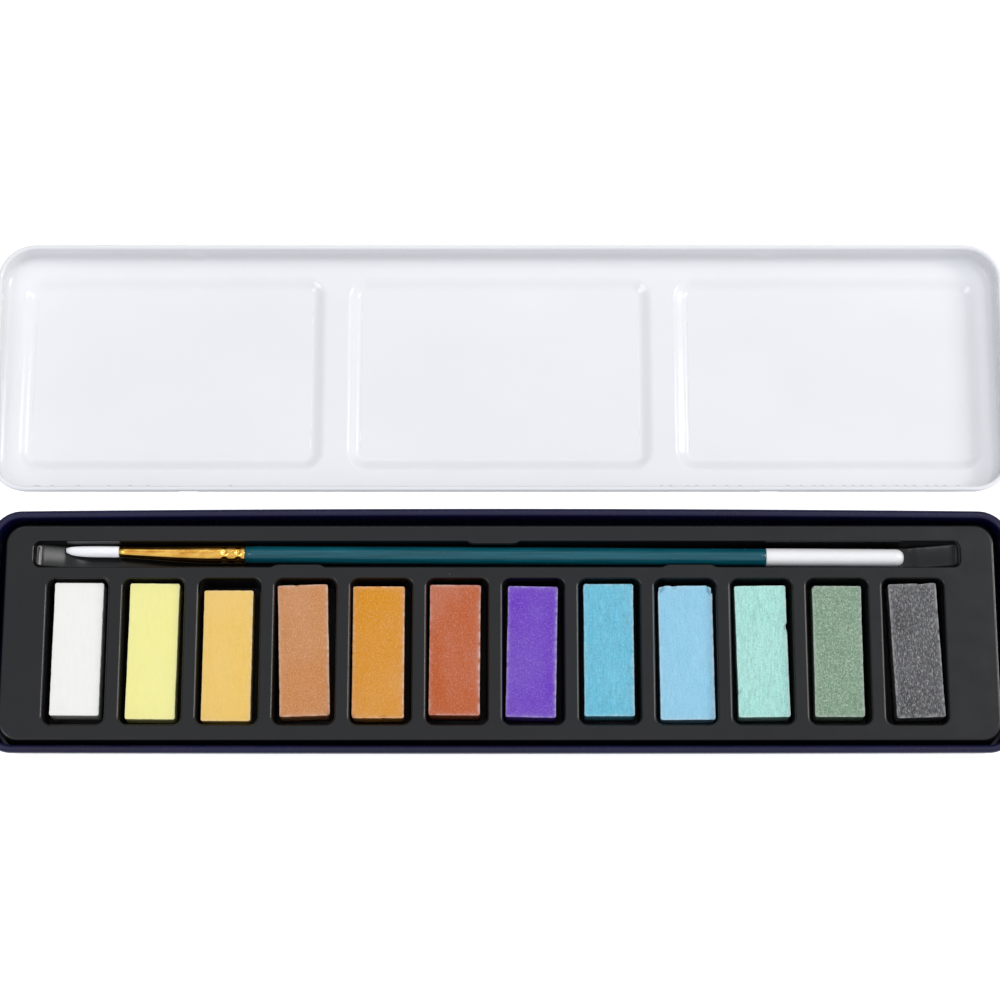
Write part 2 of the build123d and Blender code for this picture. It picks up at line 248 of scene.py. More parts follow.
class Outline:
    """Points and outward normals round a rounded rectangle, symmetric front to back."""

    def __init__(self, low, high, radius, step=1.0, front_bow=0.0, back_bow=0.0, corner=8):
        middle = (low[1] + high[1]) / 2
        half = []
        for y in spread(middle, low[1] + radius, step):
            half.append((low[0], y, -1.0, 0.0))
        for i in range(corner + 1):
            a = math.pi + math.pi / 2 * i / corner
            c, s = math.cos(a), math.sin(a)
            half.append((low[0] + radius + radius * c, low[1] + radius + radius * s, c, s))
        for x in spread(low[0] + radius, high[0] - radius, step)[1:]:
            half.append((x, low[1], 0.0, -1.0))
        for i in range(corner + 1):
            a = 1.5 * math.pi + math.pi / 2 * i / corner
            c, s = math.cos(a), math.sin(a)
            half.append((high[0] - radius + radius * c, low[1] + radius + radius * s, c, s))
        back = spread(low[1] + radius, middle, step)[1:]
        half.extend((high[0], y, 1.0, 0.0) for y in back + [middle])
        mirrored = [(x, 2 * middle - y, nx, -ny) for x, y, nx, ny in reversed(half[1:-1])]
        full = np.array(half + mirrored)
        self.xy = full[:, :2]
        self.normal = full[:, 2:]
        across = (self.xy[:, 0] - (low[0] + high[0]) / 2) / ((high[0] - low[0]) / 2)
        bow = np.where(self.xy[:, 1] < middle, -front_bow, back_bow) * (1 - across ** 2)
        self.xy[:, 1] += bow * np.abs(self.normal[:, 1])

    def ring(self, inset, z):
        """The outline drawn in by inset, at height z; either may differ from point to point."""
        inset = np.broadcast_to(inset, len(self.xy))
        flat = self.xy - self.normal * inset[:, None]
        return np.column_stack([flat, np.broadcast_to(z, len(flat))])


def quarter(count):
    """Angles of a quarter turn, in radians."""
    return [math.pi / 2 * i / count for i in range(count + 1)]


# ---- materials -------------------------------------------------------
class Look:
    """A node material round one Principled shader, with a few shorthand calls."""

    def __init__(self, name, **values):
        self.material = bpy.data.materials.new(name)
        self.material.use_nodes = True
        self.nodes = self.material.node_tree.nodes
        self.links = self.material.node_tree.links
        self.shader = next(n for n in self.nodes if n.type == "BSDF_PRINCIPLED")
        for socket, value in values.items():
            self.shader.inputs[socket.replace("_", " ")].default_value = value
        self.place = self.node("ShaderNodeTexCoord").outputs["Object"]

    def node(self, kind, **settings):
        """Adds a node and sets its properties."""
        made = self.nodes.new(kind)
        for key, value in settings.items():
            setattr(made, key, value)
        return made

    def link(self, output, target):
        """Joins an output to an input."""
        self.links.new(output, target)

    def stretched(self, scale):
        """Object coordinates scaled to cells per millimetre along X, Y and Z."""
        mapping = self.node("ShaderNodeMapping")
        mapping.inputs["Scale"].default_value = tuple(s / MM for s in scale)
        self.link(self.place, mapping.inputs["Vector"])
        return mapping.outputs["Vector"]

    def noise(self, scale, detail=3.0, roughness=0.55, warp=0.0):
        """Noise with so many cells per millimetre along X, Y and Z."""
        made = self.node("ShaderNodeTexNoise")
        made.inputs["Scale"].default_value = 1.0
        made.inputs["Detail"].default_value = detail
        made.inputs["Roughness"].default_value = roughness
        made.inputs["Distortion"].default_value = warp
        self.link(self.stretched(scale), made.inputs["Vector"])
        return made.outputs["Fac"]

    def specks(self, scale, low, high):
        """Sparse round specks, 1 inside and 0 elsewhere, and three random channels of each speck."""
        made = self.node("ShaderNodeTexVoronoi")
        made.inputs["Scale"].default_value = 1.0
        self.link(self.stretched(scale), made.inputs["Vector"])
        near = self.span(made.outputs["Distance"], low, high, 1.0, 0.0)
        pick = self.node("ShaderNodeSeparateColor")
        self.link(made.outputs["Color"], pick.inputs["Color"])
        return near, pick.outputs

    def span(self, value, low, high, to_low=0.0, to_high=1.0):
        """Maps a value from low..high to to_low..to_high, with its ends held."""
        made = self.node("ShaderNodeMapRange")
        ends = {"From Min": low, "From Max": high, "To Min": to_low, "To Max": to_high}
        for name, number in ends.items():
            made.inputs[name].default_value = number
        self.link(value, made.inputs["Value"])
        return made.outputs["Result"]

    def math(self, operation, first, second):
        """One arithmetic step; either input may be a number."""
        made = self.node("ShaderNodeMath", operation=operation)
        for socket, value in zip(made.inputs, (first, second)):
            if isinstance(value, (int, float)):
                socket.default_value = value
            else:
                self.link(value, socket)
        return made.outputs["Value"]

    def mix(self, share, first, second):
        """A colour between two colours; each may be linear numbers or an output."""
        made = self.node("ShaderNodeMix", data_type="RGBA")
        self.link(share, made.inputs["Factor"])
        for socket, value in ((made.inputs["A"], first), (made.inputs["B"], second)):
            if isinstance(value, (tuple, list)):
                socket.default_value = (*value[:3], 1.0)
            else:
                self.link(value, socket)
        return made.outputs["Result"]

    def bump(self, height, strength, distance, under=None):
        """Relief of a height in millimetres, on top of an earlier relief."""
        made = self.node("ShaderNodeBump")
        made.inputs["Strength"].default_value = strength
        made.inputs["Distance"].default_value = distance * MM
        self.link(height, made.inputs["Height"])
        if under is not None:
            self.link(under, made.inputs["Normal"])
        return made.outputs["Normal"]

    def set(self, socket, output):
        """Drives one of the shader's inputs."""
        self.link(output, self.shader.inputs[socket])


def scaled(colour, factor):
    """A linear colour made lighter or darker, held below 1."""
    return tuple(min(0.98, c * factor) for c in colour)


def navy_lacquer():
    """Glossy navy lacquer on tinplate: faint orange peel and lighter scuffs of wear."""
    look = Look("navy_lacquer", Coat_Weight=0.15, Coat_Roughness=0.08, Specular_IOR_Level=0.32)
    base = linear((14, 15, 54))
    cloud = look.noise((0.05, 0.09, 0.2), detail=4)
    colour = look.mix(look.span(cloud, 0.3, 0.7), scaled(base, 0.8), scaled(base, 1.2))
    scuff = look.span(look.noise((0.25, 1.6, 1.6), detail=6, roughness=0.7), 0.70, 0.78)
    colour = look.mix(look.math("MULTIPLY", scuff, 0.25), colour, linear((96, 98, 150)))
    look.set("Base Color", colour)
    look.set("Roughness", look.span(look.noise((0.4, 0.4, 0.4)), 0.3, 0.7, 0.17, 0.30))
    peel = look.bump(look.noise((0.9, 0.9, 0.9), detail=1), 0.12, 0.03)
    look.set("Normal", look.bump(look.noise((0.09, 0.09, 0.09), detail=1), 0.3, 0.12, peel))
    return look.material


def white_enamel():
    """Glossy cool white enamel: slow waves of the sheet, a little orange peel and stray dust."""
    look = Look("white_enamel", Coat_Weight=0.3, Coat_Roughness=0.05)
    base = linear((243, 243, 246))
    cloud = look.noise((0.02, 0.03, 0.1), detail=3)
    colour = look.mix(look.span(cloud, 0.3, 0.7), scaled(base, 0.965), base)
    near, chance = look.specks((0.09, 0.09, 0.09), 0.010, 0.022)
    rare = look.math("GREATER_THAN", chance["Red"], 0.82)
    colour = look.mix(look.math("MULTIPLY", near, rare), colour, linear((70, 120, 135)))
    look.set("Base Color", colour)
    look.set("Roughness", look.span(look.noise((0.15, 0.15, 0.15)), 0.3, 0.7, 0.10, 0.20))
    peel = look.bump(look.noise((0.8, 0.8, 0.8), detail=2), 0.08, 0.03)
    look.set("Normal", look.bump(look.noise((0.03, 0.04, 0.05), detail=1), 0.35, 0.4, peel))
    return look.material


def formed_plastic():
    """Black formed sheet: satin, with haze, fine grain and pale dust; deep in the pans duller, and darkened
    there by painted shade.
    """
    look = Look("formed_plastic", Specular_IOR_Level=0.42)
    base = linear((15, 15, 16))
    haze = look.noise((0.03, 0.05, 0.05), detail=4)
    colour = look.mix(look.span(haze, 0.3, 0.7), scaled(base, 0.8), scaled(base, 1.35))
    near, chance = look.specks((0.16, 0.16, 0.16), 0.010, 0.020)
    rare = look.math("GREATER_THAN", chance["Green"], 0.80)
    colour = look.mix(look.math("MULTIPLY", near, rare), colour, linear((120, 120, 118)))
    # painted shade: the pans' insides get a darker colour with depth, and a rougher surface there
    deep = look.node("ShaderNodeAttribute", attribute_name="tone").outputs["Fac"]
    look.set("Base Color", look.mix(deep, colour, scaled(base, 0.1)))
    gloss = look.span(look.noise((0.2, 0.2, 0.2)), 0.3, 0.7, 0.16, 0.23)
    look.set("Roughness", look.math("ADD", gloss, look.math("MULTIPLY", deep, 0.5)))
    grain = look.bump(look.noise((4, 4, 4), detail=2), 0.10, 0.015)
    look.set("Normal", look.bump(look.noise((0.10, 0.10, 0.10), detail=1), 0.3, 0.12, grain))
    return look.material


def paint_cake(name, colour, streaks, grain):
    """Pressed pigment with a pearl sparkle: fine grain, lengthwise streaks, pale edges from wear and a
    painted highlight on the right.
    """
    look = Look(name, Specular_IOR_Level=0.25)
    base = linear(colour)
    pale = tuple(c + (0.95 - c) * 0.55 for c in base)
    streak = look.noise((2.1, 0.36, 1.0), detail=4, roughness=0.65, warp=0.6)
    crumb = look.noise((3.0, 2.5 - 1.5 * streaks, 3.0), detail=3, roughness=0.8)
    cloud = look.noise((0.10, 0.07, 0.10), detail=2)
    dark, bright = scaled(base, 1 - 0.6 * streaks), scaled(base, 1 + 0.5 * streaks)
    shade = look.mix(look.span(streak, 0.34, 0.66), dark, bright)
    shade = look.mix(look.span(cloud, 0.3, 0.7, 0.0, 0.12), shade, pale)
    # the colour follows the relief: darker in its hollows, paler on its raised grains; partly the pigment's
    # own grain, partly painted shade and highlight
    pits = look.span(crumb, 0.26, 0.48, min(1.0, 1.5 * grain), 0.0)
    shade = look.mix(pits, shade, scaled(base, 0.45))
    grains = look.span(crumb, 0.52, 0.74, 0.0, min(1.0, 1.1 * grain))
    shade = look.mix(grains, shade, pale)
    near, chance = look.specks((3.4, 3.4 - 2.2 * streaks, 3.4), 0.15, 0.50)
    flake = look.math("MULTIPLY", near, look.span(chance["Blue"], 0.55, 1.0))
    shade = look.mix(look.math("MULTIPLY", flake, min(0.8, 0.10 + 0.9 * grain)), shade, pale)
    # pale edges: partly wear, partly a painted highlight, strongest along the right-hand edges
    edge_wear_and_highlight = look.node("ShaderNodeAttribute", attribute_name="tone").outputs["Fac"]
    edge = tuple(c + (0.98 - c) * 0.62 for c in base)
    look.set("Base Color", look.mix(look.math("MULTIPLY", edge_wear_and_highlight, 0.9), shade, edge))
    look.set("Metallic", look.span(flake, 0.0, 1.0, 0.08, 0.60))
    look.set("Roughness", look.span(crumb, 0.3, 0.7, 0.62, 0.42))
    relief = look.bump(crumb, 0.15 + 0.7 * grain, 0.12)
    look.set("Normal", look.bump(streak, 0.1 + 0.5 * streaks, 0.12, relief))
    return look.material


def gold_metal():
    """Polished gold-coloured brass with fine turning lines and slight tarnish."""
    look = Look("gold_metal", Metallic=1.0)
    base = linear((252, 204, 104))
    tarnish = look.noise((0.3, 0.6, 0.6), detail=5)
    look.set("Base Color", look.mix(look.span(tarnish, 0.35, 0.75), base, linear((206, 132, 44))))
    look.set("Roughness", look.span(look.noise((0.8, 0.4, 0.4)), 0.3, 0.7, 0.07, 0.15))
    look.set("Normal", look.bump(look.noise((1.5, 0.3, 0.3), detail=1), 0.08, 0.02))
    return look.material


def teal_lacquer():
    """Teal lacquer over wood: glossy, with the grain just showing along the handle."""
    look = Look("teal_lacquer", Coat_Weight=0.15, Coat_Roughness=0.06, Specular_IOR_Level=0.3)
    base = linear((8, 82, 96))
    grain = look.noise((0.06, 2.0, 2.0), detail=5, warp=0.4)
    look.set("Base Color", look.mix(look.span(grain, 0.3, 0.7), scaled(base, 0.7), scaled(base, 1.35)))
    look.set("Roughness", look.span(look.noise((0.3, 0.8, 0.8)), 0.3, 0.7, 0.14, 0.28))
    look.set("Normal", look.bump(look.noise((0.08, 1.2, 1.2), detail=3), 0.15, 0.08))
    return look.material


def white_dip():
    """White dipped lacquer: thick, glossy and slightly uneven."""
    look = Look("white_dip", Coat_Weight=0.5, Coat_Roughness=0.05)
    base = linear((250, 249, 250))
    cloud = look.noise((0.1, 0.5, 0.5), detail=3)
    look.set("Base Color", look.mix(look.span(cloud, 0.3, 0.7), scaled(base, 0.94), base))
    look.set("Roughness", look.span(look.noise((0.4, 0.4, 0.4)), 0.3, 0.7, 0.10, 0.20))
    look.set("Normal", look.bump(look.noise((0.25, 0.6, 0.6), detail=2), 0.2, 0.12))
    return look.material


def white_hair():
    """Fine white synthetic hair with lengthwise shading, and a faint white glow painted in for light
    passing through it.
    """
    # emission: a painted glow that lightens the whole tuft
    look = Look("white_hair", Emission_Strength=0.16)
    look.shader.inputs["Emission Color"].default_value = (1.0, 1.0, 1.0, 1.0)
    strand = look.noise((0.15, 9.0, 9.0), detail=3)
    grey, white = linear((236, 235, 243)), linear((252, 252, 254))
    look.set("Base Color", look.mix(look.span(strand, 0.3, 0.7), grey, white))
    look.set("Roughness", look.span(strand, 0.3, 0.7, 0.30, 0.50))
    look.set("Normal", look.bump(strand, 0.2, 0.04))
    return look.material


def clear_resin():
    """Amber resin inside the ferrule."""
    look = Look("clear_resin", Roughness=0.25)
    cloud = look.noise((0.8, 0.8, 0.8), detail=3)
    look.set("Base Color", look.mix(cloud, linear((196, 160, 96)), linear((226, 198, 140))))
    look.set("Normal", look.bump(cloud, 0.2, 0.05))
    return look.material


def studio_floor():
    """Plain pale floor with the faintest mottling, lit a little from within to stay white."""
    look = Look("studio_floor", Roughness=0.9, Emission_Strength=0.65, Specular_IOR_Level=0.1)
    cloud = look.noise((0.01, 0.01, 0.01), detail=2)
    look.set("Base Color", look.mix(cloud, (0.92, 0.92, 0.92), (0.94, 0.94, 0.94)))
    look.shader.inputs["Emission Color"].default_value = (1.0, 1.0, 1.0, 1.0)
    return look.material


# ---- tin -------------------------------------------------------------
def bead_rings(outline, diameter, wall_inset, sheet, top):
    """Rings of a rolled rim, from the inner wall over the top and under to the outer wall."""
    radius = diameter / 2
    end = 2 * math.pi - math.acos((wall_inset - sheet - radius) / radius)
    rings = []
    for i in range(BEAD_STEPS + 1):
        a = BEAD_START + (end - BEAD_START) * i / BEAD_STEPS
        rings.append(outline.ring(radius + radius * math.cos(a), top - radius + radius * math.sin(a)))
    return rings


def make_tin():
    """The tin as one closed sheet: floor, inner wall, rolled rim, outer wall and underside."""
    low, high = box_mm("tin_base")
    skin = Skin()
    outline = Outline((low.x, low.y + FRONT_BOW), (high.x, high.y - BACK_BOW), TIN_CORNER, step=2.0,
                      front_bow=FRONT_BOW, back_bow=BACK_BOW, corner=12)
    rings = [outline.ring(TIN_WALL_INSET + TIN_FLOOR_RADIUS + LEVEL_STRIP, SHEET)]
    for a in quarter(5):
        rings.append(outline.ring(TIN_WALL_INSET + TIN_FLOOR_RADIUS * (1 - math.sin(a)),
                                  SHEET + TIN_FLOOR_RADIUS * (1 - math.cos(a))))
    rings += bead_rings(outline, TIN_BEAD, TIN_WALL_INSET, SHEET, high.z)
    outer = TIN_WALL_INSET - SHEET
    radius = TIN_FLOOR_RADIUS + SHEET
    for a in reversed(quarter(6)):
        rings.append(outline.ring(outer + radius * (1 - math.sin(a)), radius * (1 - math.cos(a))))
    rings.append(outline.ring(outer + radius + LEVEL_STRIP, 0.0))
    numbers = [skin.add(ring) for ring in rings]
    skin.bands(numbers)
    skin.ladder(numbers[0])
    skin.ladder(numbers[-1], flip=True)
    made = skin.build("tin_shell", navy_lacquer())
    finish_piece(made, "tin_base", "tin_base")


def finish_piece(made, body, node):
    """Sets a piece on its body, in place of its CAD node."""
    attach(made, body)
    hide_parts(node)


# ---- lid -------------------------------------------------------------
def well_outlines(middle_y):
    """Outlines of the three mixing wells' mouths."""
    length, depth, radius = WELL_MOUTH
    found = []
    for i in (-1, 0, 1):
        x = i * WELL_PITCH
        found.append(Outline((x - length / 2, middle_y - depth / 2), (x + length / 2, middle_y + depth / 2),
                             radius, step=2.0, corner=10))
    return found


def press_wells(skin, middle_y, height, grow, flip):
    """Three soft-flanked wells; gives the rings at their mouths."""
    mouths = []
    for outline in well_outlines(middle_y):
        rings = [outline.ring(-grow - LEVEL_STRIP, height)]
        for i in range(WELL_STEPS + 1):
            share = i / WELL_STEPS
            drop = WELL_DROP * float(smooth(share))
            rings.append(outline.ring(WELL_FLANK * share - grow, height - drop))
        rings.append(outline.ring(WELL_FLANK - grow + LEVEL_STRIP, height - WELL_DROP))
        numbers = [skin.add(ring) for ring in rings]
        skin.bands(list(reversed(numbers)) if not flip else numbers)
        skin.ladder(numbers[-1], flip=flip)
        mouths.append(numbers[0])
    return mouths


def dimple_push(xy, z, normal):
    """How far the skirt is pushed in at a point, by the four friction dimples."""
    push = np.zeros(len(xy))
    for x in DIMPLE_X:
        along = np.clip(1 - ((xy[:, 0] - x) / (DIMPLE_LENGTH / 2)) ** 2, 0, 1)
        push += smooth(along) * math.exp(-((z - DIMPLE_Z) / DIMPLE_SPREAD) ** 2)
    return push * np.abs(normal[:, 1]) * DIMPLE_PUSH


def make_lid():
    """The lid as one closed sheet, inside-up: panel with wells, skirt, rolled rim, underside."""
    low, high = box_mm("lid")
    middle_y = (low.y + high.y) / 2
    panel = LID_PANEL + SHEET
    skin = Skin()
    outline = Outline((low.x, low.y), (high.x, high.y), LID_CORNER, step=1.0, corner=14)

    def skirt(inset, z):
        return outline.ring(inset + dimple_push(outline.xy, z, outline.normal), z)

    rings = [outline.ring(LID_WALL_INSET + LID_FLOOR_RADIUS + LEVEL_STRIP, panel)]
    for a in quarter(7):
        rings.append(skirt(LID_WALL_INSET + LID_FLOOR_RADIUS * (1 - math.sin(a)),
                           panel + LID_FLOOR_RADIUS * (1 - math.cos(a))))
    for z in SKIRT_HEIGHTS:
        rings.append(skirt(LID_WALL_INSET, z))
    rings += bead_rings(outline, LID_BEAD, LID_WALL_INSET, SHEET, high.z)
    outer = LID_WALL_INSET - SHEET
    for z in reversed(SKIRT_HEIGHTS):
        rings.append(skirt(outer, z))
    radius = LID_FLOOR_RADIUS + SHEET
    for a in reversed(quarter(7)):
        rings.append(skirt(outer + radius * (1 - math.sin(a)), LID_PANEL + radius * (1 - math.cos(a))))
    rings.append(outline.ring(outer + radius + LEVEL_STRIP, LID_PANEL))
    numbers = [skin.add(ring) for ring in rings]
    skin.bands(numbers)
    skin.flat(numbers[0], press_wells(skin, middle_y, panel, 0.0, False))
    skin.flat(numbers[-1], press_wells(skin, middle_y, LID_PANEL, SHEET * UNDER_GROW, True), flip=True)
    made = skin.build("lid_shell", white_enamel())
    finish_piece(made, "lid", "lid")


# ---- tray ------------------------------------------------------------
def pan_pocket(skin, x, y, top, floor):
    """One pan: soft lip, drafted walls, rounded floor; gives the ring round its lip."""
    length, depth, radius = PAN_MOUTH
    low, high = (x - length / 2, y - depth / 2), (x + length / 2, y + depth / 2)
    outline = Outline(low, high, radius, step=1.5, corner=8)
    rings = [outline.ring(-PAN_LIP - LIP_STRIP, top)]
    for a in quarter(5):
        rings.append(outline.ring(-PAN_LIP * (1 - math.sin(a)), top - PAN_LIP * (1 - math.cos(a))))
    start, heel = top - PAN_LIP, floor + PAN_HEEL
    for share in (0.3, 0.6, 1.0):
        rings.append(outline.ring(PAN_DRAFT * share, start + (heel - start) * share))
    for a in quarter(3)[1:]:
        inset = PAN_DRAFT + PAN_HEEL * (1 - math.cos(a))
        rings.append(outline.ring(inset, heel - PAN_HEEL * math.sin(a)))
    rings.append(outline.ring(PAN_DRAFT + PAN_HEEL + LIP_STRIP, floor))
    numbers = [skin.add(ring) for ring in rings]
    skin.bands(list(reversed(numbers)))
    skin.ladder(numbers[-1])
    return numbers[0]


def slot_floor(x):
    """Height of the brush slot's floor at x: deep in the middle, a ledge at each end."""
    left = smooth((LEFT_LEDGE[1] - x) / (LEFT_LEDGE[1] - LEFT_LEDGE[0]))
    right = smooth((x - RIGHT_LEDGE[1]) / (RIGHT_LEDGE[0] - RIGHT_LEDGE[1]))
    beyond = np.maximum(LEFT_LEDGE[0] - x, x - RIGHT_LEDGE[0])
    rise = LEDGE_SLOPE * np.maximum(beyond, 0)
    return SLOT_BOTTOM + (SLOT_LEDGE - LEDGE_SINK - SLOT_BOTTOM) * np.maximum(left, right) + rise


def nib_push(outline, depth):
    """How far the nibs stand into the slot at a depth below the tray's top."""
    fade = float(smooth((NIB_DEPTH + 0.3 - depth) / 0.5))
    push = np.zeros(len(outline.xy))
    for x, side in NIBS:
        away = np.abs(outline.xy[:, 0] - x)
        rise = smooth((NIB_LENGTH / 2 - away) / NIB_RAMP)
        push += rise * (np.sign(outline.normal[:, 1]) == side)
    return push * NIB_PUSH * fade


def slot_pocket(skin, top):
    """The brush slot; gives the ring round its lip."""
    (x, y), (length, depth, radius) = SLOT_CENTRE, SLOT_MOUTH
    low, high = (x - length / 2, y - depth / 2), (x + length / 2, y + depth / 2)
    outline = Outline(low, high, radius, step=0.8, corner=8)
    rings = [outline.ring(-SLOT_LIP - LIP_STRIP + nib_push(outline, 0), top)]
    for a in quarter(5):
        drop = SLOT_LIP * (1 - math.cos(a))
        rings.append(outline.ring(-SLOT_LIP * (1 - math.sin(a)) + nib_push(outline, drop), top - drop))
    start = top - SLOT_LIP
    heel = slot_floor(outline.xy[:, 0]) + SLOT_HEEL
    for share in (0.12, 0.2, 0.28, 0.34, 0.4, 0.7, 1.0):
        middle_depth = SLOT_LIP + (start - SLOT_BOTTOM - SLOT_HEEL) * share
        inset = SLOT_DRAFT * share + nib_push(outline, middle_depth)
        rings.append(outline.ring(inset, start + (heel - start) * share))
    for a in quarter(4)[1:]:
        inset = SLOT_DRAFT + SLOT_HEEL * (1 - math.cos(a))
        rings.append(outline.ring(inset, heel - SLOT_HEEL * math.sin(a)))
    numbers = [skin.add(ring) for ring in rings]
    skin.bands(list(reversed(numbers)))
    skin.ladder(numbers[-1])
    return numbers[0]


def make_tray():
    """The formed tray: one thin sheet with twelve pans and the brush slot pressed into it."""
    low, high = box_mm("insert_tray")
    top, floor = high.z, low.z + TRAY_SHEET
    skin = Skin()
    front_left = (low.x + TRAY_FLARE, low.y + TRAY_FLARE)
    back_right = (high.x - TRAY_FLARE, high.y - TRAY_FLARE)
    outline = Outline(front_left, back_right, TRAY_CORNER, step=2.0, corner=10)
    rings = [outline.ring(TRAY_EDGE + LEVEL_STRIP, top)]
    for a in quarter(6):
        rings.append(outline.ring(TRAY_EDGE * (1 - math.sin(a)), top - TRAY_EDGE * (1 - math.cos(a))))
    for share in (0.3, 0.65, 1.0):
        rings.append(outline.ring(-TRAY_FLARE * share, top - TRAY_EDGE + (low.z - top + TRAY_EDGE) * share))
    numbers = [skin.add(ring) for ring in rings]
    skin.bands(numbers)
    first = PAN_ROW[0] - PAN_PITCH * (PAN_COUNT - 1) / 2
    mouths = [pan_pocket(skin, first + PAN_PITCH * i, PAN_ROW[1], top, floor) for i in range(PAN_COUNT)]
    mouths.append(slot_pocket(skin, top))
    skin.flat(numbers[0], mouths)
    # tone: how much painted shade darkens the tray at a point, growing with depth in the pans; the brush
    # slot gets none
    for x, y, z in skin.points:
        in_slot = abs(y - SLOT_CENTRE[1]) < SLOT_MOUTH[1] and abs(x) < SLOT_MOUTH[0] / 2
        skin.tone.append(0.0 if in_slot else float(smooth((top - PAN_SHADE_START - z) / PAN_SHADE_REACH)))
    made = skin.build("formed_tray", formed_plastic())
    sheet = made.modifiers.new("sheet", "SOLIDIFY")
    sheet.thickness = TRAY_SHEET * TRAY_SHOWN * MM
    sheet.offset = -1.0
    finish_piece(made, "insert_tray", "insert_tray")


# ---- paint blocks ----------------------------------------------------
BLOCK_CORNER = 0.45
BLOCK_EDGE = 0.12            # roundness of the upper edges
BLOCK_WAIST = 0.10           # the pressed sides draw in by this much between the corners
BLOCK_SINK = 0.08            # the top lies this far under the CAD block's, to leave room for lips
CELL = 0.28                  # spacing of a block's surface points
EDGE_CELLS = (0.0, 0.05, 0.12, 0.21, 0.33, 0.5, 0.72)
EDGE_ZONE = 0.98             # the finer points reach this far in from an edge
SIDE_DROPS = (0.03, 0.08, 0.16, 0.35, 1.0, 2.4, 4.2)


def edge_spaced(half):
    """Places from -half to half, closer together towards both ends."""
    inner = half - EDGE_ZONE
    count = round(2 * inner / CELL)
    left = [-half + step for step in EDGE_CELLS]
    middle = [-inner + 2 * inner * i / count for i in range(count + 1)]
    return left + middle + [-place for place in reversed(left)]


def round_corner(x, y, half_x, half_y):
    """Pulls a point of the plan in to the rounded corner."""
    over_x, over_y = abs(x) - half_x + BLOCK_CORNER, abs(y) - half_y + BLOCK_CORNER
    if over_x > 0 and over_y > 0:
        pull = max(over_x, over_y) / math.hypot(over_x, over_y)
        x = math.copysign(half_x - BLOCK_CORNER + over_x * pull, x)
        y = math.copysign(half_y - BLOCK_CORNER + over_y * pull, y)
    return x, y


def chip_depth(node, x, y, seed):
    """How deep the block is chipped at a point."""
    depth = 0.0
    for chip_x, chip_y, reach, deep in CHIPS.get(node, ()):
        near = 1 - math.hypot(x - chip_x, y - chip_y) / reach + 0.3 * perlin(x * 2.2, y * 2.2, seed)
        depth = max(depth, deep * float(smooth(near * 1.6)))
    return depth


def block_point(node, x, y, half_x, half_y, streaks, grain, lip, seed):
    """A point of a block's top with its wear: frayed outline, streaks, grains, lips and chips; and how pale
    its edge is painted, from wear and a painted highlight.
    """
    to_side, to_end = half_x - abs(x), half_y - abs(y)
    chip = chip_depth(node, x, y, seed)
    px, py = round_corner(x, y, half_x, half_y)
    fray = 0.045 * perlin(y * 0.7, seed, x) + 0.03 * perlin(y * 2.6, seed + 4, x)
    px += math.copysign(math.exp(-to_side / 0.5), x) * (fray - 0.35 * chip)
    px -= (x / half_x) * BLOCK_WAIST * (1 - (y / half_y) ** 2)
    fray = 0.04 * perlin(x * 0.9, seed + 7, y) + 0.035 * perlin(x * 2.8, seed + 2, y)
    py += math.copysign(math.exp(-to_end / 0.5), y) * (fray - 0.35 * chip)
    relief = 0.02 * perlin(x * 0.25, y * 0.15, seed + 9)
    relief += 0.035 * streaks * perlin(x * 1.8, y * 0.16, seed)
    relief += 0.03 * (0.15 + grain) * perlin(x * 2.8, y * 2.4, seed + 3)
    wave = 0.65 + 0.6 * perlin(y * 0.45, seed, 1.0)
    right = math.exp(-((half_x - x - 0.12) / 0.2) ** 2)
    left = math.exp(-((half_x + x - 0.12) / 0.2) ** 2)
    relief += lip * wave * (0.10 * right + 0.03 * left)
    edge_wear_and_highlight = math.exp(-min(to_side, to_end) / 0.30) * (0.65 + 0.9 * perlin(x * 1.1, y * 1.1, seed + 6))
    # the right-hand long edge is painted twice as pale: a painted highlight, as the light falls from the
    # right
    edge_wear_and_highlight *= 1.0 if x > 0 and to_side < to_end else 0.5
    return (px, py, relief - chip), min(1.0, max(0.0, edge_wear_and_highlight * (0.4 + 0.6 * lip)))


